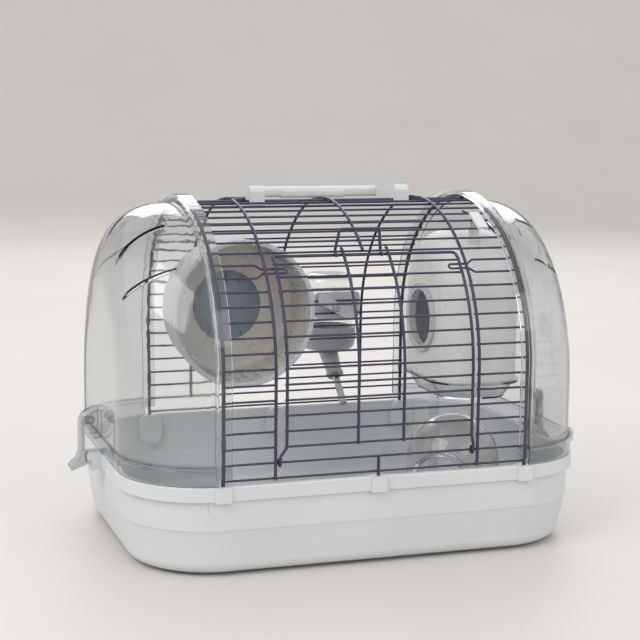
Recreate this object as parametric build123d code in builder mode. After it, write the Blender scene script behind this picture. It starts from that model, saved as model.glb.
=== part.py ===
from build123d import *
import os
from math import asin, atan2, cos, degrees, pi, radians, sin, sqrt

# A capsule-shaped hamster cage: a moulded tray, a wire grille bent into an arch, a clear dome
# at each end, a drop-down door, a carry handle, and the wheel, bottle, nest box and sand bath.
# Millimetres. X runs along the cage, Y from front to back, Z up. The origin is on the table
# under the middle of the whole object. The cage's own middle plane lies CAGE_Y from it,
# because the bottle stands out behind.

# --- driving dimensions -------------------------------------------------------------------
CAGE_Y = -22.5            # middle plane of the cage, seen from the origin
WIRE_FOOT = 69.0          # height of the lowest wire
LEG = 69.0                # straight part of the arch
ARCH_HALF = 122.5         # half the arch's depth
ARCH_RISE = 115.0         # from the top of the straight part to the crest
SIDE_RADIUS = 110.0       # bend at each side of the arch
BAR_PITCH = 11.0          # along the arch
BAR_R = 0.8
WIRE_R = 1.15             # upright wires
POST_R = 1.3              # the two end arches
WIRE_LIFT = 1.85          # upright wires are welded on the outside of the bars
ARCH_X = 76.5             # the two inner arches, each side of the door
END_X = 114.2             # the two end arches

TRAY_BOTTOM = 2.0
TRAY_RIM = 66.2
TRAY_BAND = 56.0          # underside of the rim band
TRAY_STEP = 34.5          # the line between the straight wall and the bowl
TRAY_HALF_X = 176.5
TRAY_HALF_Y = 127.5
TRAY_CORNER = 63.0
TRAY_WALL = 2.4

DOME_END = 176.4          # flat end of the dome
DOME_HALF_Y = 123.5
DOME_CORNER = 66.0
DOME_CREST = 253.0
DOME_SHOULDER = 178.0     # height where the end face starts to turn over
DOME_FOOT = 78.0
DOME_WALL = 2.0
FLANGE_X = (108.7, 119.7)
FLANGE_LIFT = (3.7, 6.2)
BEAD = (77.0, 80.0)

DOOR_X = 1.5              # middle of the door
DOOR_HALF = 70.0
DOOR_LIFT = 2.3
DOOR_R = 1.1
DOOR_HINGE_BAR = 1        # the door turns about this wire
DOOR_TOP_RUN = 161.5      # arch length at the door's top wire

HANDLE_X = 3.0
HANDLE_HALF = 64.0

PIVOT_X = 184.5           # latch pin
PIVOT_Z = 93.0
PIN_R = 1.5
FIT = 0.05                # radial running clearance

WHEEL_X = -56.0
WHEEL_Z = 162.3
WHEEL_R = 57.0
WHEEL_FRONT = 31.0
WHEEL_BACK = 83.0
AXLE_R = 2.5

HOUSE_X = (72.0, 139.0)
HOUSE_Y = -25.0
HOUSE_HALF_Y = 46.0
HOUSE_Z = (118.0, 185.0)  # floor and the springing of its round roof

BATH = (96.0, -36.0)
BATH_R = 36.0

BOTTLE = (55.0, 150.0)
BOTTLE_R = 22.0
CAP_Z = (111.0, 131.0)
SPOUT_DROP = 42.6         # degrees below level
SPOUT_R = 3.0

os.makedirs("parts", exist_ok=True)


# --- placing planes -----------------------------------------------------------------------
def level(z, x=0.0, y=0.0):
    """A level plane at height z, looked at from above."""
    return Plane(origin=(x, CAGE_Y + y, z))


def across(x):
    """The cage's cross-section at x: its first direction is +Y, its second is +Z."""
    return Plane(origin=(x, CAGE_Y, 0), x_dir=(0, 1, 0), z_dir=(1, 0, 0))


def facing(y):
    """An upright plane at y, looked at from the front: first +X, then +Z."""
    return Plane(origin=(0, CAGE_Y + y, 0), x_dir=(1, 0, 0), z_dir=(0, -1, 0))


def save(piece, label):
    piece.label = label
    export_step(piece, "parts/" + label + ".step")


# --- the arch that the wires follow -------------------------------------------------------
SPRING = WIRE_FOOT + LEG
SIDE_IN = ARCH_HALF - SIDE_RADIUS
CROWN_RADIUS = (SIDE_IN**2 + ARCH_RISE**2 - SIDE_RADIUS**2) / (2 * (ARCH_RISE - SIDE_RADIUS))
CROWN_Z = SPRING + ARCH_RISE - CROWN_RADIUS
SIDE_TURN = degrees(atan2(CROWN_RADIUS - ARCH_RISE, SIDE_IN))
SIDE_RUN = SIDE_RADIUS * radians(SIDE_TURN)
CREST_RUN = LEG + SIDE_RUN + CROWN_RADIUS * radians(90 - SIDE_TURN)


def rail(run, lift=0.0):
    """Point (y, z) of the front half of the arch, run along it from its foot, lift outside it."""
    if run <= LEG:
        return (-ARCH_HALF - lift, WIRE_FOOT + run)
    if run <= LEG + SIDE_RUN:
        turn = (run - LEG) / SIDE_RADIUS
        reach = SIDE_RADIUS + lift
        return (-SIDE_IN - reach * cos(turn), SPRING + reach * sin(turn))
    turn = radians(SIDE_TURN) + (run - LEG - SIDE_RUN) / CROWN_RADIUS
    reach = CROWN_RADIUS + lift
    return (-reach * cos(turn), CROWN_Z + reach * sin(turn))


def behind(point):
    """The same place on the back half of the arch."""
    return (-point[0], point[1])


def arch_edges(lift, foot):
    """The whole arch as a chain of tangent edges, in the open BuildLine."""
    half = ARCH_HALF + lift
    Line((-half, foot), (-half, SPRING))
    CenterArc((-SIDE_IN, SPRING), SIDE_RADIUS + lift, 180, -SIDE_TURN)
    CenterArc((0, CROWN_Z), CROWN_RADIUS + lift, 180 - SIDE_TURN, 2 * SIDE_TURN - 180)
    CenterArc((SIDE_IN, SPRING), SIDE_RADIUS + lift, SIDE_TURN, -SIDE_TURN)
    Line((half, SPRING), (half, foot))


def arch_face(lift, foot):
    """The arch closed along its foot, as a sketch."""
    with BuildSketch() as face:
        with BuildLine():
            arch_edges(lift, foot)
            Line((ARCH_HALF + lift, foot), (-ARCH_HALF - lift, foot))
        make_face()
    return face.sketch


# --- tray ---------------------------------------------------------------------------------
WALL_HALF_X = TRAY_HALF_X - 3.0   # the straight wall under the rim band
WALL_HALF_Y = TRAY_HALF_Y - 2.0
BOWL_LEDGE = 0.4          # the bowl's top edge lies this far inside the wall above it
BOWL_HALF_X = 168.0       # the bowl's flat bottom before its edge is rounded
BOWL_HALF_Y = 121.0
BOWL_CORNER = 61.0
BOWL_ROUND = 9.0
BOSS_Z = (43.0, TRAY_RIM)
SOCKET_X = (-END_X, 0.0, END_X)
SOCKET_Y = ARCH_HALF + WIRE_LIFT
SOCKET_R = 1.5
SOCKET_FLOOR = 57.0
KEEPER_HALF = 8.0

with BuildPart() as tray_cavity:
    with BuildSketch(level(TRAY_STEP)):
        RectangleRounded(2 * (WALL_HALF_X - TRAY_WALL), 2 * (WALL_HALF_Y - TRAY_WALL),
                         TRAY_CORNER - TRAY_WALL)
    with BuildSketch(level(TRAY_BOTTOM + TRAY_WALL)):
        RectangleRounded(2 * (BOWL_HALF_X - TRAY_WALL), 2 * (BOWL_HALF_Y - TRAY_WALL),
                         BOWL_CORNER - TRAY_WALL)
    loft(ruled=True)
    fillet(tray_cavity.faces().sort_by(Axis.Z)[0].edges(), BOWL_ROUND - TRAY_WALL)
    with BuildSketch(level(TRAY_STEP)):
        RectangleRounded(2 * (WALL_HALF_X - TRAY_WALL), 2 * (WALL_HALF_Y - TRAY_WALL),
                         TRAY_CORNER - TRAY_WALL)
    extrude(amount=TRAY_RIM - TRAY_STEP + 1)

with BuildPart() as tray:
    with BuildSketch(level(TRAY_STEP)):
        RectangleRounded(2 * (WALL_HALF_X - BOWL_LEDGE), 2 * (WALL_HALF_Y - BOWL_LEDGE), TRAY_CORNER)
    with BuildSketch(level(TRAY_BOTTOM)):
        RectangleRounded(2 * BOWL_HALF_X, 2 * BOWL_HALF_Y, BOWL_CORNER)
    loft(ruled=True)
    fillet(tray.faces().sort_by(Axis.Z)[0].edges(), BOWL_ROUND)
    with BuildSketch(level(TRAY_STEP)):
        RectangleRounded(2 * WALL_HALF_X, 2 * WALL_HALF_Y, TRAY_CORNER)
    extrude(amount=TRAY_BAND - TRAY_STEP)
    with BuildSketch(level(TRAY_BAND)):
        RectangleRounded(2 * TRAY_HALF_X, 2 * TRAY_HALF_Y, TRAY_CORNER)
    extrude(amount=TRAY_RIM - TRAY_BAND)
    fillet(tray.faces().sort_by(Axis.Z)[-1].edges(), 1.0)
    add(tray_cavity.part, mode=Mode.SUBTRACT)
    # outer socket blocks, proud of the rim band
    with BuildSketch(level(TRAY_BAND - 0.8)):
        with Locations(*[(x, side * (TRAY_HALF_Y - 1.5)) for x in SOCKET_X for side in (-1, 1)]):
            RectangleRounded(12.0, 7.0, 1.5)
    extrude(amount=TRAY_RIM - TRAY_BAND + 0.8)
    # tall bosses behind them on the inside of the wall, with round shoulders
    for side in (-1, 1):
        with BuildSketch(facing(side * (WALL_HALF_Y - 0.5))):
            with Locations(*[(x, (BOSS_Z[0] + BOSS_Z[1]) / 2) for x in SOCKET_X]):
                RectangleRounded(20.0, BOSS_Z[1] - BOSS_Z[0], 7.0)
        extrude(amount=side * 6.0)
    with BuildSketch(level(SOCKET_FLOOR)):
        with Locations(*[(x, side * SOCKET_Y) for x in SOCKET_X for side in (-1, 1)]):
            Circle(SOCKET_R)
    extrude(amount=TRAY_RIM - SOCKET_FLOOR + 1, mode=Mode.SUBTRACT)
    # the two keepers that the end latches hook under
    for side in (-1, 1):
        with BuildSketch(facing(-KEEPER_HALF)):
            with BuildLine():
                Polyline(
                    (side * 172.4, 55.0),
                    (side * 183.5, 54.5),
                    (side * 183.5, 62.0),
                    (side * 187.2, 62.6),
                    (side * 187.2, 66.0),
                    (side * 185.8, 67.4),
                    (side * 176.8, 67.4),
                    (side * 176.8, 66.2),
                    (side * 172.4, 66.2),
                    close=True,
                )
            make_face()
        extrude(amount=-2 * KEEPER_HALF)
save(tray.part, "tray")

with BuildPart() as tray_feet:
    with BuildSketch(level(0)):
        with GridLocations(2 * 98.0, 2 * 90.0, 2, 2):
            Circle(7.0)
    extrude(amount=TRAY_BOTTOM)
    chamfer(tray_feet.faces().group_by(Axis.Z)[0].edges(), 0.5)
save(tray_feet.part, "tray_feet")

# --- end domes ----------------------------------------------------------------------------
DOME_START = FLANGE_X[1] - 2.0
DOME_STATIONS = 8
DOME_SQUARENESS = 2.8
DOME_LEG_END = 112.0      # top of the straight sides at the end face
SLOT_ANGLES = (-49, -26, 0, 26, 49)
SLOT_CENTRE = 153.0
EAR_Y = 8.3
EAR_T = 2.2


def dome_station(x, inset):
    """Half-width, height of the straight sides and crest height of the dome at |x|."""
    share = min(max((x - DOME_START) / (DOME_END - DOME_START), 0.0), 1.0)
    depth = max(x - (DOME_END - DOME_CORNER), 0.0)
    half = DOME_HALF_Y - DOME_CORNER + sqrt(max(DOME_CORNER**2 - depth**2, 0.0))
    drop = (1 - share**DOME_SQUARENESS) ** (1 / DOME_SQUARENESS)
    crest = DOME_SHOULDER + (DOME_CREST - DOME_SHOULDER) * drop
    leg = SPRING + (DOME_LEG_END - SPRING) * share
    return (half - inset, leg, crest - inset)


def dome_solid(side, inset, foot, first, last):
    """The dome filled between two planes, its cross-sections closing up towards the end."""
    start = asin((first - DOME_END + DOME_CORNER) / DOME_CORNER)
    with BuildPart() as filled:
        for station in range(DOME_STATIONS):
            angle = start + (pi / 2 - start) * station / (DOME_STATIONS - 1)
            x = DOME_END - DOME_CORNER + DOME_CORNER * sin(angle)
            half, leg, crest = dome_station(x, inset)
            place = first + (last - first) * (x - first) / (DOME_END - first)
            with BuildSketch(across(side * place)):
                with BuildLine():
                    Line((-half, leg), (-half, foot))
                    Line((-half, foot), (half, foot))
                    Line((half, foot), (half, leg))
                    EllipticalCenterArc((0, leg), half, crest - leg, arc_size=180)
                make_face()
        loft()
    return filled.part


for side, name in ((-1, "left"), (1, "right")):
    with BuildPart() as dome:
        add(dome_solid(side, 0.0, DOME_FOOT, DOME_START, DOME_END))
        add(dome_solid(side, DOME_WALL, DOME_FOOT - 1, DOME_START - 1, DOME_END - DOME_WALL),
            mode=Mode.SUBTRACT)
        # collar wall and the band that covers the end arch
        with BuildSketch(across(side * DOME_START)):
            add(arch_face(FLANGE_LIFT[1], BEAD[0]))
            add(arch_face(-DOME_WALL / 2, BEAD[0] - 2), mode=Mode.SUBTRACT)
        extrude(amount=side * (FLANGE_X[1] - DOME_START))
        with BuildSketch(across(side * FLANGE_X[0])):
            add(arch_face(FLANGE_LIFT[1], 72.0))
            add(arch_face(FLANGE_LIFT[0], 70.0), mode=Mode.SUBTRACT)
        extrude(amount=side * (FLANGE_X[1] - FLANGE_X[0]))
        # bead and skirt around the foot, open towards the grille
        with BuildSketch(level(BEAD[0])):
            RectangleRounded(2 * TRAY_HALF_X + 2.4, 2 * TRAY_HALF_Y + 2.4, TRAY_CORNER + 1.2)
            RectangleRounded(2 * (DOME_END - 3.5), 2 * (DOME_HALF_Y - 3.5), TRAY_CORNER - 3,
                             mode=Mode.SUBTRACT)
            with Locations((-side * 60.0, 0)):
                Rectangle(2 * (60.0 + DOME_START), 300, mode=Mode.SUBTRACT)
        extrude(amount=BEAD[1] - BEAD[0])
        with BuildSketch(level(TRAY_RIM)):
            RectangleRounded(2 * TRAY_HALF_X - 2.0, 2 * TRAY_HALF_Y - 2.0, TRAY_CORNER - 1)
            RectangleRounded(2 * TRAY_HALF_X - 6.0, 2 * TRAY_HALF_Y - 6.0, TRAY_CORNER - 3,
                             mode=Mode.SUBTRACT)
            with Locations((-side * 60.0, 0)):
                Rectangle(2 * (60.0 + DOME_START), 300, mode=Mode.SUBTRACT)
        extrude(amount=BEAD[0] - TRAY_RIM)
        # ears for the latch pin
        for ear in (-1, 1):
            with BuildSketch(facing(ear * EAR_Y + EAR_T / 2)):
                with BuildLine():
                    Polyline(
                        (side * (DOME_END - 1), 79.0),
                        (side * (PIVOT_X - 2), 79.0),
                        (side * (PIVOT_X + 3.6), 90.0),
                        (side * (PIVOT_X + 3.6), 96.0),
                        (side * (PIVOT_X - 4), 100.0),
                        (side * (DOME_END - 1), 100.0),
                        close=True,
                    )
                make_face()
                with Locations((side * PIVOT_X, PIVOT_Z)):
                    Circle(PIN_R, mode=Mode.SUBTRACT)
            extrude(amount=EAR_T)
        # vent slots over the shoulder
        for angle in SLOT_ANGLES:
            out = (0, sin(radians(angle)), cos(radians(angle)))
            with BuildSketch(Plane(origin=(side * SLOT_CENTRE, CAGE_Y, SPRING), x_dir=(1, 0, 0), z_dir=out)):
                SlotOverall(32.0, 3.2)
            extrude(amount=ARCH_RISE + 10, mode=Mode.SUBTRACT)
    save(dome.part, "dome_" + name)

# --- grille -------------------------------------------------------------------------------
BAR_END = END_X + 1.0
BITE = 0.9                # a wire runs this far past the one it is welded to
STOP_RUNS = (13 * BAR_PITCH, 14 * BAR_PITCH)
STOP_TIP = 8.0            # how far a stop loop reaches past the door's edge wire
JOG_HALF = 13.0
CREST_BAR_R = 1.1
POST_LIFT = BAR_R + POST_R - 0.1
CREST_DROP = WIRE_LIFT - WIRE_R - CREST_BAR_R + 0.1
CREST_Z = WIRE_FOOT + LEG + ARCH_RISE + CREST_DROP


def spot(x, run, lift, back=False):
    """A point in space on the arch."""
    y, z = rail(run, lift)
    return (x, CAGE_Y + (-y if back else y), z)


def half_arch(lift, start, stop, back=False):
    """Tangent edges of one half of the arch between two runs, in the open BuildLine."""
    flip = -1 if back else 1

    def arc(centre, radius, first, last):
        begin = 180 - first if flip > 0 else first
        CenterArc((-flip * centre[0], centre[1]), radius + lift, begin, -flip * (last - first))

    if start < LEG:
        foot, top = rail(start, lift), rail(min(stop, LEG), lift)
        Line((flip * foot[0], foot[1]), (flip * top[0], top[1]))
    side_start, side_stop = max(start - LEG, 0), min(stop - LEG, SIDE_RUN)
    if side_stop > side_start:
        turns = [degrees(run / SIDE_RADIUS) for run in (side_start, side_stop)]
        arc((SIDE_IN, SPRING), SIDE_RADIUS, *turns)
    crown_start, crown_stop = max(start - LEG - SIDE_RUN, 0), stop - LEG - SIDE_RUN
    if crown_stop > crown_start:
        turns = [SIDE_TURN + degrees(run / CROWN_RADIUS) for run in (crown_start, crown_stop)]
        arc((0, CROWN_Z), CROWN_RADIUS, *turns)


def wire_along(path, radius):
    """Round wire bent along a path."""
    with BuildPart() as wire:
        with BuildSketch(Plane(origin=path @ 0, z_dir=path % 0)):
            Circle(radius)
        sweep(path=path)
    return wire.part


def arch_wire(x, lift, radius, start, stop, back=False):
    """Round wire along one half of the arch."""
    with BuildLine(across(x)) as path:
        half_arch(lift, start, stop, back)
    return wire_along(path.wires()[0], radius)


def bent_wire(points, bend, radius):
    """Round wire through points in space, with round bends."""
    with BuildLine() as path:
        FilletPolyline(*points, radius=bend)
    return wire_along(path.wires()[0], radius)


def bars(points, first, last, radius=BAR_R):
    """Straight wires along X through the given points of the cross-section."""
    with BuildPart() as group:
        with BuildSketch(across(first)):
            with Locations(*points):
                Circle(radius)
        extrude(amount=last - first)
    return group.part


def front_runs(first, last):
    return [rail(step * BAR_PITCH) for step in range(first, last + 1)]


def back_runs(first, last):
    return [behind(point) for point in front_runs(first, last)]


# end arches: their feet stand in the tray's sockets
for x, name in ((-END_X, "left"), (END_X, "right")):
    with BuildPart() as end_arch:
        for back in (False, True):
            add(arch_wire(x, POST_LIFT, POST_R, SOCKET_FLOOR + 0.5 - WIRE_FOOT, CREST_RUN, back))
    save(end_arch.part, "end_arch_" + name)

# inner arches: each steps sideways at the crest to keep the handle in its place
for side, name in ((-1, "left"), (1, "right")):
    x = side * ARCH_X
    tip = HANDLE_X + side * (HANDLE_HALF + 1.6)
    jog_run = CREST_RUN - JOG_HALF
    with BuildPart() as arch:
        add(arch_wire(x, WIRE_LIFT, WIRE_R, -BITE, jog_run))
        add(arch_wire(x, WIRE_LIFT, WIRE_R, BAR_PITCH - BITE, jog_run, back=True))
        add(bent_wire([spot(x, jog_run, WIRE_LIFT), spot(x, jog_run + 4, WIRE_LIFT),
                       spot(tip, CREST_RUN, WIRE_LIFT + 0.3), spot(x, jog_run + 4, WIRE_LIFT, True),
                       spot(x, jog_run, WIRE_LIFT, True)], 2.2, WIRE_R))
    save(arch.part, "arch_wire_" + name)

with BuildPart() as arch_wire_centre:
    add(arch_wire(0, WIRE_LIFT, WIRE_R, 15 * BAR_PITCH - BITE, CREST_RUN))
    add(arch_wire(0, WIRE_LIFT, WIRE_R, SOCKET_FLOOR + 0.5 - WIRE_FOOT, CREST_RUN, back=True))
save(arch_wire_centre.part, "arch_wire_centre")

with BuildPart() as post_front:
    with BuildSketch(level(SOCKET_FLOOR + 0.5)):
        with Locations((0, -SOCKET_Y)):
            Circle(WIRE_R)
    extrude(amount=WIRE_FOOT + BAR_PITCH + BITE - SOCKET_FLOOR - 0.5)
save(post_front.part, "post_front")

save(bars(front_runs(0, 1), -BAR_END, BAR_END), "bars_sill")
save(bars(front_runs(2, 12), -BAR_END, BITE - ARCH_X), "bars_front_left")
save(bars(front_runs(2, 12), ARCH_X - BITE, BAR_END), "bars_front_right")
save(bars(front_runs(15, 22), -BAR_END, BAR_END), "bars_roof_front")
save(bars([(0, CREST_Z)], -BAR_END, BAR_END, CREST_BAR_R), "crest_bar")
save(bars(back_runs(12, 22), -BAR_END, BAR_END), "bars_roof_back")
save(bars(back_runs(0, 11), -BAR_END, BAR_END), "bars_back")

# stop loops: two wires drawn together that the door's edge wires rest on
for side, name in ((-1, "left"), (1, "right")):
    low, high = STOP_RUNS
    middle = (low + high) / 2
    edge = DOOR_X + side * (DOOR_HALF - STOP_TIP)
    near, far = [middle + gap for gap in (-1.9, 1.9)]
    with BuildPart() as door_stop:
        add(bent_wire([spot(side * BAR_END, low, 0), spot(side * 83.0, low, 0),
                       spot(side * 78.5, near, 0), spot(edge, near, 0), spot(edge, far, 0),
                       spot(side * 78.5, far, 0), spot(side * 83.0, high, 0),
                       spot(side * BAR_END, high, 0)], 1.8, BAR_R))
    save(door_stop.part, "door_stop_" + name)

# --- door ---------------------------------------------------------------------------------
HINGE_RUN = DOOR_HINGE_BAR * BAR_PITCH
EYE_X = 73.0              # the two eyes, either side of the middle
EYE_TURN = 285
CATCH_BAR = 15 * BAR_PITCH
HOOK_TURN = 50
UPRIGHT_OFFSET = 17.2
TOP_LIFT = DOOR_LIFT - 2 * DOOR_R + 0.1
CATCH_TOP = (-89.0, 239.0)


def around(x, run, radius, start, turn):
    """An arc about a bar, in the cross-section at x."""
    with BuildLine(across(x)) as path:
        CenterArc(rail(run), radius, start, turn)
    return wire_along(path.wires()[0], DOOR_R)


with BuildPart() as door_frame:
    for side in (-1, 1):
        x = DOOR_X + side * DOOR_HALF
        eye_x = side * EYE_X
        add(arch_wire(x, DOOR_LIFT, DOOR_R, 26.0, 154.0))
        add(bent_wire([spot(x, 26.0, DOOR_LIFT), spot(x, 22.0, DOOR_LIFT),
                       spot(eye_x, 15.5, DOOR_LIFT), spot(eye_x, HINGE_RUN, DOOR_LIFT)], 2.0, DOOR_R))
        add(around(eye_x, HINGE_RUN, DOOR_LIFT, 180, EYE_TURN))
    left, right = DOOR_X - DOOR_HALF, DOOR_X + DOOR_HALF
    add(bent_wire([spot(left, 154.0, DOOR_LIFT), spot(left, DOOR_TOP_RUN, TOP_LIFT),
                   spot(right, DOOR_TOP_RUN, TOP_LIFT), spot(right, 154.0, DOOR_LIFT)], 3.0, DOOR_R))
save(door_frame.part, "door_frame")

with BuildPart() as door_bars:
    with BuildSketch(across(DOOR_X - DOOR_HALF - BITE)):
        with Locations(*[rail(step * BAR_PITCH, DOOR_LIFT - 1.8) for step in range(2, 15)]):
            Circle(BAR_R)
    extrude(amount=2 * (DOOR_HALF + BITE))
save(door_bars.part, "door_bars")

with BuildPart() as door_uprights:
    out_angle = 180 - SIDE_TURN - degrees((CATCH_BAR - LEG - SIDE_RUN) / CROWN_RADIUS)
    for side in (-1, 1):
        x = DOOR_X + side * UPRIGHT_OFFSET
        add(arch_wire(x, DOOR_LIFT, DOOR_R, 2 * BAR_PITCH - BITE, CATCH_BAR))
        add(around(x, CATCH_BAR, DOOR_LIFT, out_angle, -HOOK_TURN))
save(door_uprights.part, "door_uprights")

with BuildPart() as door_catch:
    top_y, top_z = CATCH_TOP
    add(bent_wire([spot(-21.5, 158.5, DOOR_LIFT), spot(-21.5, 163.5, DOOR_LIFT),
                   (-19.0, CAGE_Y + top_y, top_z), (11.0, CAGE_Y + top_y, top_z),
                   spot(13.3, 163.5, DOOR_LIFT), spot(13.3, 158.5, DOOR_LIFT)], 2.0, DOOR_R))
save(door_catch.part, "door_catch")

# --- carry handle -------------------------------------------------------------------------
LEG_WIDTH = 11.0
GRIP = (37.5, 46.5)       # the grip's two long faces

with BuildPart() as carry_handle:
    for side in (-1, 1):
        with BuildSketch(across(HANDLE_X + side * HANDLE_HALF)):
            with BuildLine():
                Polyline((-5.5, 250.6), (-5.5, 260.5), (-3.5, 263.0), (-0.5, 264.6), (43.5, 261.6),
                         (46.5, 258.6), (46.5, 254.5), (44.0, 252.6), (38.0, 252.4), (12.0, 254.3),
                         (8.2, 254.3), (5.0, 249.6), (-4.5, 249.6), close=True)
            make_face()
            with Locations((0, CREST_Z)):
                Circle(CREST_BAR_R + FIT, mode=Mode.SUBTRACT)
        extrude(amount=-side * LEG_WIDTH)
    with BuildSketch(across(HANDLE_X - HANDLE_HALF + 1)):
        with Locations(((GRIP[0] + GRIP[1]) / 2, 256.7)):
            RectangleRounded(GRIP[1] - GRIP[0], 8.2, 3.0)
    extrude(amount=2 * HANDLE_HALF - 2)
    # finger pads along the underside of the grip
    with BuildSketch(across(HANDLE_X - 26)):
        with Locations(((GRIP[0] + GRIP[1]) / 2, 255.8)):
            RectangleRounded(GRIP[1] - GRIP[0] + 1.0, 7.8, 3.0)
    extrude(amount=52)
save(carry_handle.part, "carry_handle")

# --- end latches --------------------------------------------------------------------------
LATCH_HALF = 6.8

for side, name in ((-1, "left"), (1, "right")):
    with BuildPart() as latch:
        with BuildSketch(facing(-LATCH_HALF)):
            with BuildLine():
                Polyline(
                    (side * (PIVOT_X - 1), PIVOT_Z + 3.4),
                    (side * (PIVOT_X + 5.0), PIVOT_Z + 3.0),
                    (side * (PIVOT_X + 7.0), PIVOT_Z - 2.0),
                    (side * (PIVOT_X + 7.3), 68.0),
                    (side * (PIVOT_X + 9.0), 62.5),
                    (side * (PIVOT_X + 12.5), 60.0),
                    (side * (PIVOT_X + 15.2), 56.6),
                    (side * (PIVOT_X + 14.0), 54.8),
                    (side * (PIVOT_X + 8.0), 57.0),
                    (side * (PIVOT_X + 4.5), 58.0),
                    (side * (PIVOT_X + 1.2), 60.2),
                    (side * (PIVOT_X + 1.2), 61.3),
                    (side * (PIVOT_X + 3.8), 61.3),
                    (side * (PIVOT_X + 4.1), PIVOT_Z - 5.0),
                    (side * (PIVOT_X + 2.0), PIVOT_Z - 2.6),
                    close=True,
                )
            make_face()
            with Locations((side * PIVOT_X, PIVOT_Z)):
                Circle(3.4)
                Circle(PIN_R + FIT, mode=Mode.SUBTRACT)
        extrude(amount=-2 * LATCH_HALF)
    save(latch.part, "latch_" + name)

    with BuildPart() as latch_pin:
        with BuildSketch(facing(-EAR_Y - EAR_T / 2 - 0.8)):
            with Locations((side * PIVOT_X, PIVOT_Z)):
                Circle(PIN_R)
        extrude(amount=-2 * (EAR_Y + EAR_T / 2 + 0.8))
    save(latch_pin.part, "latch_pin_" + name)

# dark sleeves on the end arches under the dome bands
CLIP_RUNS = (24.0, 123.5)

with BuildPart() as flange_clips:
    for x in (-END_X, END_X):
        for run in CLIP_RUNS:
            for back in (False, True):
                with BuildLine(across(x)) as path:
                    half_arch(POST_LIFT, run, run + 6.5, back)
                with BuildSketch(Plane(origin=path.wires()[0] @ 0, z_dir=path.wires()[0] % 0)):
                    Circle(POST_R + 0.35)
                    Circle(POST_R + 0.02, mode=Mode.SUBTRACT)
                sweep(path=path.wires()[0])
save(flange_clips.part, "flange_clips")

# --- wheel --------------------------------------------------------------------------------
WHEEL_AXIS = Axis((WHEEL_X, CAGE_Y, WHEEL_Z), (0, 1, 0))
WHEEL_SKIN = 1.6
WHEEL_FLARE = 1.0
WHEEL_ROUND = 8.0
WHEEL_RUNGS = 40
HUB_R = 28.5
HUB_DEPTH = 6.5
HUB_CROWN = 77.0          # radius of the hub's domed face
BOSS_R = 6.0
AXLE_TIP = 78.0
AXLE_TAIL = 131.0
TRACK_R = WHEEL_R - WHEEL_FLARE
BORE_R = AXLE_R + FIT

with BuildPart() as wheel_drum:
    turn_y = WHEEL_BACK - WHEEL_ROUND
    with BuildSketch(across(WHEEL_X)):
        with BuildLine():
            flat = WHEEL_Z + TRACK_R - WHEEL_ROUND
            rim = WHEEL_Z + TRACK_R
            Line((WHEEL_BACK, WHEEL_Z + BORE_R), (WHEEL_BACK, flat))
            CenterArc((turn_y, flat), WHEEL_ROUND, 0, 90)
            Line((turn_y, rim), (WHEEL_FRONT, rim + WHEEL_FLARE))
            Line((WHEEL_FRONT, rim + WHEEL_FLARE), (WHEEL_FRONT, rim + WHEEL_FLARE - WHEEL_SKIN))
            Line((WHEEL_FRONT, rim + WHEEL_FLARE - WHEEL_SKIN), (turn_y, rim - WHEEL_SKIN))
            CenterArc((turn_y, flat), WHEEL_ROUND - WHEEL_SKIN, 90, -90)
            Line((WHEEL_BACK - WHEEL_SKIN, flat), (WHEEL_BACK - WHEEL_SKIN, WHEEL_Z + BORE_R))
            Line((WHEEL_BACK - WHEEL_SKIN, WHEEL_Z + BORE_R), (WHEEL_BACK, WHEEL_Z + BORE_R))
        make_face()
        with Locations((WHEEL_BACK + 1.0, WHEEL_Z + (BORE_R + BOSS_R) / 2)):
            Rectangle(2.4, BOSS_R - BORE_R)
    revolve(axis=WHEEL_AXIS)
    # rungs along the running track
    with BuildSketch(facing(WHEEL_FRONT + 3)):
        with Locations((WHEEL_X, WHEEL_Z)):
            with PolarLocations(TRACK_R - 1.3, WHEEL_RUNGS):
                Rectangle(2.2, 1.8)
    extrude(amount=-(turn_y - WHEEL_FRONT - 3))
    # six shallow ribs over the back disc
    with BuildSketch(facing(WHEEL_BACK - WHEEL_SKIN)):
        with Locations((WHEEL_X, WHEEL_Z)):
            with PolarLocations((HUB_R + 46.0) / 2, 6):
                Rectangle(46.0 - HUB_R, 2.0)
    extrude(amount=1.0)
save(wheel_drum.part, "wheel_drum")

with BuildPart() as wheel_front_ring:
    with BuildSketch(across(WHEEL_X)):
        with Locations((WHEEL_FRONT - 1.6, WHEEL_Z + WHEEL_R - 0.4)):
            RectangleRounded(3.2, 4.0, 1.2)
    revolve(axis=WHEEL_AXIS)
save(wheel_front_ring.part, "wheel_front_ring")

with BuildPart() as wheel_hub:
    hub_back = WHEEL_BACK - WHEEL_SKIN
    with BuildSketch(facing(hub_back)):
        with Locations((WHEEL_X, WHEEL_Z)):
            Circle(HUB_R)
    extrude(amount=HUB_DEPTH)
    with Locations((WHEEL_X, CAGE_Y + hub_back - HUB_DEPTH + HUB_CROWN, WHEEL_Z)):
        Sphere(HUB_CROWN, mode=Mode.INTERSECT)
    with BuildSketch(facing(hub_back - 2.0)):
        with Locations((WHEEL_X, WHEEL_Z)):
            with PolarLocations(HUB_R - 6.0, 12):
                Rectangle(10.0, 1.6)
    extrude(amount=2.6)
    with BuildSketch(facing(hub_back)):
        with Locations((WHEEL_X, WHEEL_Z)):
            Circle(BORE_R)
    extrude(amount=hub_back - AXLE_TIP + 0.6, mode=Mode.SUBTRACT)
save(wheel_hub.part, "wheel_hub")

with BuildPart() as wheel_axle:
    with BuildSketch(facing(AXLE_TIP)):
        with Locations((WHEEL_X, WHEEL_Z)):
            Circle(AXLE_R)
    extrude(amount=-(AXLE_TAIL - AXLE_TIP))
    chamfer(wheel_axle.edges(), 0.4)
save(wheel_axle.part, "wheel_axle")

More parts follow.
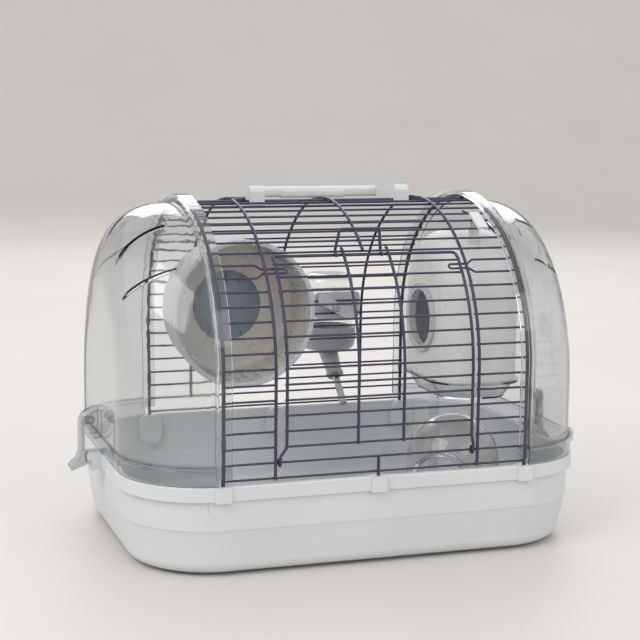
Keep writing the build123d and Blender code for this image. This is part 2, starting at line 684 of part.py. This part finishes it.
# the mounting plates lean with the arch where the axle goes through it
PLATE_TURN = asin((WHEEL_Z - SPRING) / SIDE_RADIUS)
PLATE_Y = SIDE_IN + SIDE_RADIUS * cos(PLATE_TURN)
SNUG_R = AXLE_R + 0.02


def leaning(out):
    """A plane parallel to the back of the arch at the axle, the given distance outside it."""
    lean = (0, cos(PLATE_TURN), sin(PLATE_TURN))
    centre = (WHEEL_X, CAGE_Y + PLATE_Y + out * lean[1], WHEEL_Z + out * lean[2])
    return Plane(origin=centre, x_dir=(1, 0, 0), z_dir=lean)


with BuildPart() as wheel_bracket:
    with BuildSketch(leaning(-3.4)):
        RectangleRounded(30.0, 24.0, 4.0)
    extrude(amount=2.4)
    with BuildSketch(facing(WHEEL_BACK + 5.0)):
        with Locations((WHEEL_X, WHEEL_Z)):
            Circle(5.0)
    with BuildSketch(facing(PLATE_Y - 2.6)):
        with Locations((WHEEL_X, WHEEL_Z)):
            Circle(9.0)
    loft()
    with BuildSketch(facing(WHEEL_BACK + 4.0)):
        with Locations((WHEEL_X, WHEEL_Z)):
            Circle(SNUG_R)
    extrude(amount=-50.0, mode=Mode.SUBTRACT)
save(wheel_bracket.part, "wheel_bracket")

with BuildPart() as wheel_washer:
    with BuildSketch(leaning(1.0)):
        Circle(10.0)
        Circle(AXLE_R + 0.9, mode=Mode.SUBTRACT)
    extrude(amount=2.0)
save(wheel_washer.part, "wheel_washer")

with BuildPart() as wheel_nut:
    with BuildSketch(facing(PLATE_Y + 4.6)):
        with Locations((WHEEL_X, WHEEL_Z)):
            RegularPolygon(5.2, 6)
            Circle(SNUG_R, mode=Mode.SUBTRACT)
    extrude(amount=-4.4)
save(wheel_nut.part, "wheel_nut")

# --- nest box -----------------------------------------------------------------------------
HOUSE_SKIN = 2.0
HOUSE_ROUND = 21.0
ENTRY_Z = 163.0
ENTRY_R = 23.5
FLOOR_Z = (104.0, 118.0)
HOUSE_MID_X = (HOUSE_X[0] + HOUSE_X[1]) / 2
PEG_X = (98.0, 106.0)


def house_block(inset, foot):
    """The nest box filled solid: a round-topped block with rounded ends."""
    half = HOUSE_HALF_Y - inset
    with BuildPart() as block:
        with BuildSketch(across(HOUSE_X[0] + inset)):
            with BuildLine():
                Line((HOUSE_Y - half, HOUSE_Z[1]), (HOUSE_Y - half, foot))
                Line((HOUSE_Y - half, foot), (HOUSE_Y + half, foot))
                Line((HOUSE_Y + half, foot), (HOUSE_Y + half, HOUSE_Z[1]))
                CenterArc((HOUSE_Y, HOUSE_Z[1]), half, 0, 180)
            make_face()
        extrude(amount=HOUSE_X[1] - HOUSE_X[0] - 2 * inset)
        ends = block.faces().sort_by(Axis.X)
        outline = ends[0].edges() + ends[-1].edges()
        fillet([edge for edge in outline if edge.center().Z > foot + 1], HOUSE_ROUND - inset)
    return block.part


with BuildPart() as house:
    add(house_block(0, HOUSE_Z[0]))
    add(house_block(HOUSE_SKIN, HOUSE_Z[0] - 5), mode=Mode.SUBTRACT)
    with BuildSketch(across(HOUSE_X[0] - 1)):
        with Locations((HOUSE_Y, ENTRY_Z)):
            Circle(ENTRY_R)
    extrude(amount=20, mode=Mode.SUBTRACT)
save(house.part, "house")

with BuildPart() as house_ring:
    with BuildSketch(across(HOUSE_X[0] - 2.6)):
        with Locations((HOUSE_Y, ENTRY_Z)):
            Circle(ENTRY_R + 3.5)
            Circle(ENTRY_R - 2.0, mode=Mode.SUBTRACT)
    extrude(amount=2.6)
    fillet(house_ring.faces().sort_by(Axis.X)[0].edges(), 1.0)
    with BuildSketch(across(HOUSE_X[0])):
        with Locations((HOUSE_Y, ENTRY_Z)):
            Circle(ENTRY_R - 0.1)
            Circle(ENTRY_R - 2.0, mode=Mode.SUBTRACT)
    extrude(amount=3.4)
save(house_ring.part, "house_ring")

with BuildPart() as house_floor:
    with BuildSketch(level(FLOOR_Z[0], HOUSE_MID_X, HOUSE_Y)):
        RectangleRounded(53.0, 80.0, 20.0)
    with BuildSketch(level(FLOOR_Z[1] - 2, HOUSE_MID_X, HOUSE_Y)):
        RectangleRounded(67.0, 94.0, 26.0)
    loft()
    with BuildSketch(level(FLOOR_Z[1] - 2, HOUSE_MID_X, HOUSE_Y)):
        RectangleRounded(73.0, 102.0, 29.0)
    extrude(amount=2)
    with BuildSketch(level(FLOOR_Z[0] + 1.8, HOUSE_MID_X, HOUSE_Y)):
        RectangleRounded(49.4, 76.4, 18.2)
    with BuildSketch(level(FLOOR_Z[1] + 0.5, HOUSE_MID_X, HOUSE_Y)):
        RectangleRounded(63.0, 90.0, 22.0)
    loft(mode=Mode.SUBTRACT)
save(house_floor.part, "house_floor")

with BuildPart() as house_post:
    with BuildSketch(level(TRAY_BOTTOM + TRAY_WALL)):
        with Locations((PEG_X[0], 8.0)):
            Circle(7.0)
    extrude(amount=2.0)
    with BuildSketch(level(TRAY_BOTTOM + TRAY_WALL)):
        with Locations((PEG_X[0], 8.0)):
            Circle(4.0)
    extrude(amount=FLOOR_Z[0] - TRAY_BOTTOM - TRAY_WALL)
save(house_post.part, "house_post")

with BuildPart() as house_hook:
    with BuildSketch(across(PEG_X[0])):
        with BuildLine():
            Polyline((-52.2, 205.0), (-49.0, 205.0), rail(204.5, 3.6), rail(184.0, 3.6),
                     rail(184.0, 1.3), rail(201.0, 1.3), close=True)
        make_face()
    extrude(amount=PEG_X[1] - PEG_X[0])
    add(house_block(0, HOUSE_Z[0]), mode=Mode.SUBTRACT)
save(house_hook.part, "house_hook")

# --- sand bath ----------------------------------------------------------------------------
BATH_FLOOR = TRAY_BOTTOM + TRAY_WALL
BATH_SPRING = 52.0
BATH_SKIN = 1.8
BATH_DOOR_Z = 40.0
BATH_DOOR_R = 21.0
BATH_TURN = 232.0         # the way its doorway faces, degrees from +X


def bath_block(inset, foot):
    """The round-topped bath filled solid."""
    with BuildPart() as block:
        with BuildSketch(level(foot)):
            with Locations(BATH):
                Circle(BATH_R - inset)
        extrude(amount=BATH_SPRING - foot)
        with Locations((BATH[0], CAGE_Y + BATH[1], BATH_SPRING)):
            Sphere(BATH_R - inset)
    return block.part


bath_out = (cos(radians(BATH_TURN)), sin(radians(BATH_TURN)), 0)
bath_door = Plane(origin=(BATH[0], CAGE_Y + BATH[1], BATH_DOOR_Z), x_dir=(0, 0, 1), z_dir=bath_out)

with BuildPart() as sand_bath:
    add(bath_block(0, BATH_FLOOR))
    add(bath_block(BATH_SKIN, BATH_FLOOR + BATH_SKIN), mode=Mode.SUBTRACT)
    with BuildSketch(bath_door):
        Circle(BATH_DOOR_R)
    extrude(amount=BATH_R + 10, mode=Mode.SUBTRACT)
save(sand_bath.part, "sand_bath")

with BuildPart() as bath_rim:
    with BuildSketch(bath_door.offset(24)):
        Circle(BATH_DOOR_R + 3)
        Circle(BATH_DOOR_R - 0.5, mode=Mode.SUBTRACT)
    extrude(amount=14)
    add(bath_block(-0.05, BATH_FLOOR), mode=Mode.SUBTRACT)
save(bath_rim.part, "bath_rim")

# --- bottle -------------------------------------------------------------------------------
CAP_R = 24.0
BOTTLE_TOP = 178.0
BOTTLE_FOOT = 124.4
BOTTLE_SKIN = 1.2
SPOUT_START = 110.8       # where the spout's line meets the bottle's axis
SPOUT_BORE = 2.6
SPOUT_LENGTH = 60.0
BALL_R = 2.3
BALL_GAP = 0.3
SPOUT_LIP_R = 2.0
SCREW = (52.0, 151.5)
SCREW_R = 1.5

drop = radians(SPOUT_DROP)
spout_way = (0, -cos(drop), -sin(drop))
spout_plane = Plane(origin=(BOTTLE[0], CAGE_Y + BOTTLE[1], SPOUT_START), x_dir=(1, 0, 0), z_dir=spout_way)


def cap_block():
    """The cap filled solid."""
    with BuildPart() as block:
        with BuildSketch(level(CAP_Z[0])):
            with Locations(BOTTLE):
                Circle(CAP_R)
        extrude(amount=CAP_Z[1] - CAP_Z[0])
        fillet(block.faces().sort_by(Axis.Z)[0].edges(), 6.0)
    return block.part


with BuildPart() as bottle_cap:
    add(cap_block())
    with BuildSketch(level(BOTTLE_FOOT - 0.4)):
        with Locations(BOTTLE):
            Circle(BOTTLE_R + 0.02)
    extrude(amount=20, mode=Mode.SUBTRACT)
    # grip ribs around the skirt
    with BuildSketch(level(CAP_Z[0] + 8)):
        with Locations(BOTTLE):
            with PolarLocations(CAP_R - 0.1, 36):
                Rectangle(1.0, 1.6)
    extrude(amount=CAP_Z[1] - CAP_Z[0] - 9)
    with BuildSketch(spout_plane.offset(-24)):
        Circle(SPOUT_BORE)
    extrude(amount=40, mode=Mode.SUBTRACT)
save(bottle_cap.part, "bottle_cap")

with BuildPart() as bottle_body:
    with BuildSketch(level(BOTTLE_FOOT)):
        with Locations(BOTTLE):
            Circle(BOTTLE_R)
    extrude(amount=BOTTLE_TOP - BOTTLE_FOOT)
    fillet(bottle_body.faces().sort_by(Axis.Z)[-1].edges(), 9.0)
    offset(amount=-BOTTLE_SKIN, openings=bottle_body.faces().sort_by(Axis.Z)[0])
save(bottle_body.part, "bottle_body")

with BuildPart() as bottle_neck:
    with BuildSketch(spout_plane.offset(-4)):
        Circle(9.0)
    with BuildSketch(spout_plane.offset(27)):
        Circle(6.5)
    loft()
    add(cap_block(), mode=Mode.SUBTRACT)
    with BuildSketch(spout_plane.offset(12)):
        Circle(SPOUT_R + 0.02)
    extrude(amount=20, mode=Mode.SUBTRACT)
    with BuildSketch(spout_plane.offset(-6)):
        Circle(SPOUT_BORE)
    extrude(amount=20, mode=Mode.SUBTRACT)
save(bottle_neck.part, "bottle_neck")

with BuildPart() as spout_collar:
    with BuildSketch(spout_plane.offset(27)):
        Circle(7.4)
        Circle(SPOUT_R + 0.02, mode=Mode.SUBTRACT)
    extrude(amount=3)
    fillet(spout_collar.faces().sort_by(Axis.Z)[0].edges().sort_by(SortBy.RADIUS)[-1], 1.0)
save(spout_collar.part, "spout_collar")

with BuildPart() as spout_tube:
    with BuildSketch(spout_plane.offset(12)):
        Circle(SPOUT_R)
        Circle(SPOUT_BORE, mode=Mode.SUBTRACT)
    extrude(amount=SPOUT_LENGTH - 12)
    with BuildSketch(spout_plane.offset(SPOUT_LENGTH)):
        Circle(SPOUT_R)
        Circle(SPOUT_LIP_R, mode=Mode.SUBTRACT)
    extrude(amount=0.5)
save(spout_tube.part, "spout_tube")

with BuildPart() as spout_ball:
    rest = SPOUT_LENGTH - sqrt((BALL_R + BALL_GAP) ** 2 - SPOUT_LIP_R**2)
    with Locations(spout_plane.offset(rest)):
        Sphere(BALL_R)
save(spout_ball.part, "spout_ball")

with BuildPart() as bottle_holder:
    with BuildSketch(facing(127)):
        with Locations((BOTTLE[0] - 0.4, 152.5)):
            RectangleRounded(41.0, 23.0, 4.0)
    extrude(amount=3)
    with BuildSketch(level(143)):
        with Locations(BOTTLE):
            Circle(BOTTLE_R + 2.5)
            Circle(BOTTLE_R + 0.4, mode=Mode.SUBTRACT)
        with Locations((BOTTLE[0], BOTTLE[1] + BOTTLE_R)):
            Rectangle(24.0, 20.0, mode=Mode.SUBTRACT)
    extrude(amount=19)
    with BuildSketch(facing(130)):
        with Locations(SCREW):
            Circle(SCREW_R + 0.02)
    extrude(amount=8, mode=Mode.SUBTRACT)
save(bottle_holder.part, "bottle_holder")

with BuildPart() as bottle_clamp:
    with BuildSketch(facing(119.4)):
        with Locations(SCREW):
            with Locations(Rotation(0, 0, -30)):
                SlotOverall(36.0, 9.0)
            Circle(SCREW_R + 0.02, mode=Mode.SUBTRACT)
    extrude(amount=2.2)
save(bottle_clamp.part, "bottle_clamp")

with BuildPart() as clamp_screw:
    with BuildSketch(facing(125.6)):
        with Locations(SCREW):
            Circle(SCREW_R)
    extrude(amount=8.4)
    with BuildSketch(facing(117.2)):
        with Locations(SCREW):
            Circle(3.6)
    extrude(amount=2.4)
    fillet(clamp_screw.faces().sort_by(Axis.Y)[0].edges(), 1.0)
save(clamp_screw.part, "clamp_screw")
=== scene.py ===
import math

import bpy
from mathutils import Matrix, Vector

# A capsule-shaped hamster cage on a pale floor. Metres, in the part's own frame.

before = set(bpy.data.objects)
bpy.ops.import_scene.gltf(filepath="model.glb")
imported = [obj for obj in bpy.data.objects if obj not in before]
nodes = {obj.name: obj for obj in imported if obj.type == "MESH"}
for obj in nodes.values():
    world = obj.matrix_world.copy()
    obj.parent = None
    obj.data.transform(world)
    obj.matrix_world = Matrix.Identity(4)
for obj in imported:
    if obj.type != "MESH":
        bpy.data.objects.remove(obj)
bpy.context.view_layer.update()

# --- driving numbers ----------------------------------------------------------------------
CAMERA_AT = Vector((-0.38888, -1.16015, 0.34070))
CAMERA_YAW = math.radians(18.739)
CAMERA_PITCH = math.radians(8.561)
CAMERA_ROLL = math.radians(0.6386)
CAMERA_LENS = 88.0
SENSOR = 36.0
FLOOR_HALF = 6.0
SWEEP_START = 2.2         # how far behind the cage the floor starts to curve up
SWEEP_RADIUS = 2.5
SWEEP_STEPS = 24
FLOOR_COLOUR = (0.68, 0.645, 0.605)
WORLD_COLOUR = (0.96, 0.97, 1.0)
WORLD_STRENGTH = 0.85

BEAD_TOP = 0.0802         # the domes are smokier from their foot bead down
NOISE_ROUGHNESS = 0.55
CLEAR_IOR = 1.47
MILKY_IOR = 1.46
CLEAR_ROUGH = 0.02
CLEAR_HAZE = 0.035        # how much rougher a clear wall is where it is handled
CLEAR_WAVE = 0.00012      # depth of the flow waves in a clear wall
MILKY_WAVE = 0.00008
SPARK_DEPTH = 0.00003     # depth of the fine texture of a moulded face
SINK_DEPTH = 0.00025      # depth of the slow sink marks in a moulded face
COATING_DEPTH = 0.00004
DRAWN_DEPTH = 0.00001


# --- shader helpers -----------------------------------------------------------------------
class Shader:
    """A Principled material with a few helpers for procedural detail."""

    def __init__(self, name, colour, rough, **sockets):
        self.material = bpy.data.materials.new(name)
        self.material.use_nodes = True
        self.tree = self.material.node_tree
        self.bsdf = self.tree.nodes["Principled BSDF"]
        self.output = self.tree.nodes["Material Output"]
        self.place = self.add("ShaderNodeTexCoord").outputs["Object"]
        self.set("Base Color", (*colour, 1.0))
        self.set("Roughness", rough)
        for socket, value in sockets.items():
            self.set(socket.replace("_", " "), value)
        self.colour = colour

    def add(self, kind):
        return self.tree.nodes.new(kind)

    def set(self, socket, value):
        self.bsdf.inputs[socket].default_value = value

    def link(self, source, target):
        self.tree.links.new(source, target)

    def noise(self, scale, detail=3.0, stretch=None):
        """Noise between 0 and 1, stretched along the part's axes if asked."""
        node = self.add("ShaderNodeTexNoise")
        node.inputs["Scale"].default_value = scale
        node.inputs["Detail"].default_value = detail
        node.inputs["Roughness"].default_value = NOISE_ROUGHNESS
        source = self.place
        if stretch:
            mapping = self.add("ShaderNodeMapping")
            mapping.inputs["Scale"].default_value = stretch
            self.link(source, mapping.inputs["Vector"])
            source = mapping.outputs["Vector"]
        self.link(source, node.inputs["Vector"])
        return node.outputs["Fac"]

    def between(self, factor, low, high, start=0.35, stop=0.65):
        """Map a factor to a range of numbers."""
        node = self.add("ShaderNodeMapRange")
        node.inputs["From Min"].default_value = start
        node.inputs["From Max"].default_value = stop
        node.inputs["To Min"].default_value = low
        node.inputs["To Max"].default_value = high
        self.link(factor, node.inputs["Value"])
        return node.outputs["Result"]

    def tint(self, factor, other, start=0.4, stop=0.7):
        """Vary the base colour between its own and another by a factor."""
        ramp = self.add("ShaderNodeValToRGB")
        ramp.color_ramp.elements[0].position = start
        ramp.color_ramp.elements[0].color = (*self.colour, 1.0)
        ramp.color_ramp.elements[1].position = stop
        ramp.color_ramp.elements[1].color = (*other, 1.0)
        self.link(factor, ramp.inputs["Fac"])
        self.link(ramp.outputs["Color"], self.bsdf.inputs["Base Color"])

    def below(self, height, soft=0.0006):
        """1 under the given height and 0 above it."""
        axes = self.add("ShaderNodeSeparateXYZ")
        self.link(self.place, axes.inputs["Vector"])
        return self.between(axes.outputs["Z"], 1.0, 0.0, height - soft, height + soft)

    def roughen(self, factor, low, high):
        self.link(self.between(factor, low, high), self.bsdf.inputs["Roughness"])

    def bump(self, factor, depth, strength=1.0):
        """Add one layer of relief, on top of any that is there."""
        node = self.add("ShaderNodeBump")
        node.inputs["Strength"].default_value = strength
        node.inputs["Distance"].default_value = depth
        self.link(factor, node.inputs["Height"])
        earlier = self.bsdf.inputs["Normal"].links
        if earlier:
            self.link(earlier[0].from_socket, node.inputs["Normal"])
        self.link(node.outputs["Normal"], self.bsdf.inputs["Normal"])

    def pass_shadows(self, tint):
        """Let light through a clear wall without a hard dark shadow."""
        clear = self.add("ShaderNodeBsdfTransparent")
        clear.inputs["Color"].default_value = (*tint, 1.0)
        mix = self.add("ShaderNodeMixShader")
        path = self.add("ShaderNodeLightPath")
        self.link(path.outputs["Is Shadow Ray"], mix.inputs["Fac"])
        self.link(self.bsdf.outputs["BSDF"], mix.inputs[1])
        self.link(clear.outputs["BSDF"], mix.inputs[2])
        self.link(mix.outputs["Shader"], self.output.inputs["Surface"])


def darker(colour, share):
    return tuple(channel * share for channel in colour)


# --- materials ----------------------------------------------------------------------------
def moulded(name, colour, rough):
    """Moulded plastic: a fine spark texture, slow flow marks and a little handling wear."""
    shader = Shader(name, colour, rough)
    flow = shader.noise(9.0, 2.0, stretch=(1.0, 1.0, 2.5))
    shader.tint(flow, darker(colour, 0.95))
    shader.roughen(shader.noise(60.0, 4.0), rough - 0.05, rough + 0.07)
    shader.bump(shader.noise(2600.0, 2.0), SPARK_DEPTH)
    shader.bump(shader.noise(14.0, 1.0), SINK_DEPTH, 0.5)
    return shader.material


def coated_wire(name, colour):
    """Steel wire under a thick dark dip coating that pools and thins along its length."""
    shader = Shader(name, colour, 0.4, Coat_Weight=0.2, Coat_Roughness=0.2)
    worn = tuple(channel * 1.5 + 0.003 for channel in colour)
    shader.tint(shader.noise(160.0), worn, 0.45, 0.75)
    shader.roughen(shader.noise(420.0), 0.34, 0.5)
    shader.bump(shader.noise(900.0, 2.0), COATING_DEPTH)
    return shader.material


def clear_shader(name, colour, rough, shadow):
    """Thin clear wall: faint flow waves and a trace of surface haze."""
    shader = Shader(name, colour, rough, Transmission_Weight=1.0, IOR=CLEAR_IOR)
    shader.roughen(shader.noise(34.0, 4.0), rough, rough + CLEAR_HAZE)
    shader.bump(shader.noise(11.0, 2.0), CLEAR_WAVE, 0.6)
    shader.pass_shadows(darker(colour, shadow))
    return shader


def clear_plastic(name, colour, rough=CLEAR_ROUGH):
    """Clear plastic of one colour."""
    return clear_shader(name, colour, rough, 0.9).material


def smoked_dome(name, colour, foot_colour):
    """The domes' clear plastic, smokier where bead and skirt double the wall."""
    shader = clear_shader(name, colour, CLEAR_ROUGH, 0.95)
    shader.tint(shader.below(BEAD_TOP), foot_colour, 0.2, 0.8)
    return shader.material


def milky_plastic(name, colour, through, rough=0.32):
    """White plastic that lets some light through."""
    shader = Shader(name, colour, rough, Transmission_Weight=through, IOR=MILKY_IOR)
    shader.tint(shader.noise(16.0), darker(colour, 0.93))
    shader.roughen(shader.noise(90.0), rough - 0.05, rough + 0.08)
    shader.bump(shader.noise(45.0, 2.0), MILKY_WAVE, 0.5)
    return shader.material


def bright_steel(name, colour, stretch):
    """Drawn or turned steel with fine lines along one direction."""
    shader = Shader(name, colour, 0.25, Metallic=1.0)
    lines = shader.noise(500.0, stretch=stretch)
    shader.tint(lines, darker(colour, 0.75))
    shader.roughen(lines, 0.16, 0.38)
    shader.bump(lines, DRAWN_DEPTH)
    return shader.material


TRAY = moulded("tray_plastic", (0.665, 0.68, 0.685), 0.36)
FEET = moulded("feet_rubber", (0.30, 0.30, 0.30), 0.7)
WIRE = coated_wire("wire_coating", (0.026, 0.022, 0.056))
TRIM = moulded("trim_plastic", (0.05, 0.05, 0.07), 0.5)
DOME = smoked_dome("dome_smoked", (0.82, 0.83, 0.835), (0.60, 0.62, 0.64))
BATH = clear_plastic("bath_clear", (0.90, 0.89, 0.87))
FLOOR_CLEAR = clear_plastic("house_floor_clear", (0.88, 0.90, 0.90), 0.05)
BOTTLE = clear_plastic("bottle_clear", (0.97, 0.98, 0.98))
LATCH = milky_plastic("latch_plastic", (0.62, 0.64, 0.66), 0.45, 0.2)
HANDLE = moulded("handle_plastic", (0.67, 0.67, 0.665), 0.33)
WHEEL = milky_plastic("wheel_plastic", (0.74, 0.71, 0.67), 0.3)
RING = milky_plastic("ring_plastic", (0.74, 0.75, 0.77), 0.35, 0.2)
HUB = moulded("hub_plastic", (0.235, 0.285, 0.33), 0.4)
HOUSE = milky_plastic("house_plastic", (0.80, 0.79, 0.77), 0.12)
CAP = moulded("cap_plastic", (0.47, 0.475, 0.48), 0.3)
STEEL = bright_steel("spout_steel", (0.56, 0.56, 0.57), (6.0, 0.4, 0.4))

LOOKS = {
    "tray": TRAY, "tray_feet": FEET, "dome_left": DOME, "dome_right": DOME,
    "latch_left": LATCH, "latch_right": LATCH, "flange_clips": TRIM, "carry_handle": HANDLE,
    "latch_pin_left": STEEL, "latch_pin_right": STEEL,
    "wheel_drum": WHEEL, "wheel_front_ring": RING, "wheel_hub": HUB, "wheel_axle": STEEL,
    "wheel_bracket": HANDLE, "wheel_washer": HANDLE, "wheel_nut": STEEL,
    "house": HOUSE, "house_ring": RING, "house_floor": FLOOR_CLEAR, "house_hook": HOUSE,
    "house_post": FLOOR_CLEAR, "sand_bath": BATH, "bath_rim": BATH,
    "bottle_body": BOTTLE, "bottle_cap": CAP, "bottle_neck": CAP, "spout_collar": CAP,
    "spout_tube": STEEL, "spout_ball": STEEL, "bottle_holder": HANDLE, "bottle_clamp": HANDLE,
    "clamp_screw": STEEL,
}

# every node that isn't listed above is a coated wire
for name, node in nodes.items():
    node.data.materials.clear()
    node.data.materials.append(LOOKS.get(name, WIRE))


# --- stage, light and camera --------------------------------------------------------------
def make_floor():
    """A plain floor that curves up behind the cage, so no edge shows from the front."""
    mesh = bpy.data.meshes.new("floor")
    line = [(-FLOOR_HALF, 0.0)]
    for step in range(SWEEP_STEPS + 1):
        turn = math.pi / 2 * step / SWEEP_STEPS
        rise = SWEEP_RADIUS * (1 - math.cos(turn))
        line.append((SWEEP_START + SWEEP_RADIUS * math.sin(turn), rise))
    points = [(side * FLOOR_HALF, y, z) for y, z in line for side in (-1, 1)]
    strips = [(2 * row, 2 * row + 1, 2 * row + 3, 2 * row + 2) for row in range(len(line) - 1)]
    mesh.from_pydata(points, [], strips)
    mesh.shade_smooth()
    floor = bpy.data.objects.new("floor", mesh)
    bpy.context.scene.collection.objects.link(floor)
    shader = Shader("floor_pale", FLOOR_COLOUR, 0.5)
    shader.tint(shader.noise(3.0), darker(FLOOR_COLOUR, 0.97))
    mesh.materials.append(shader.material)


def make_world():
    world = bpy.data.worlds.new("studio")
    bpy.context.scene.world = world
    world.use_nodes = True
    background = world.node_tree.nodes["Background"]
    background.inputs["Color"].default_value = (*WORLD_COLOUR, 1.0)
    background.inputs["Strength"].default_value = WORLD_STRENGTH


def make_light(name, at, target, size, power, colour=(1.0, 1.0, 1.0)):
    """A rectangular soft light that faces a point of the cage."""
    data = bpy.data.lights.new(name, "AREA")
    data.shape = "RECTANGLE"
    data.size, data.size_y = size
    data.energy = power
    data.color = colour
    light = bpy.data.objects.new(name, data)
    bpy.context.scene.collection.objects.link(light)
    aim = Vector(target) - Vector(at)
    light.matrix_world = Matrix.Translation(at) @ aim.to_track_quat("-Z", "Y").to_matrix().to_4x4()


def make_camera():
    """The camera, turned by its yaw, pitch and roll."""
    data = bpy.data.cameras.new("camera")
    data.lens = CAMERA_LENS
    data.sensor_width = SENSOR
    data.clip_start = 0.01
    camera = bpy.data.objects.new("camera", data)
    bpy.context.scene.collection.objects.link(camera)
    ahead = Vector((math.sin(CAMERA_YAW) * math.cos(CAMERA_PITCH),
                    math.cos(CAMERA_YAW) * math.cos(CAMERA_PITCH),
                    -math.sin(CAMERA_PITCH)))
    level = Vector((math.cos(CAMERA_YAW), -math.sin(CAMERA_YAW), 0.0))
    above = level.cross(ahead)
    right = math.cos(CAMERA_ROLL) * level + math.sin(CAMERA_ROLL) * above
    up = math.cos(CAMERA_ROLL) * above - math.sin(CAMERA_ROLL) * level
    turn = Matrix((right, up, -ahead)).transposed().to_4x4()
    camera.matrix_world = Matrix.Translation(CAMERA_AT) @ turn
    bpy.context.scene.camera = camera


make_floor()
make_world()
make_light("window_left", (-1.5, -0.7, 1.5), (0, 0, 0.1), (1.4, 1.2), 16.0)
make_light("soft_front", (0.9, -1.8, 1.2), (0, 0, 0.1), (1.6, 1.0), 7.0)
make_light("window_back", (0.6, 1.8, 1.3), (0, 0, 0.15), (2.2, 1.2), 16.0, (0.95, 0.98, 1.0))
make_camera()
bpy.context.scene.view_settings.view_transform = "Standard"
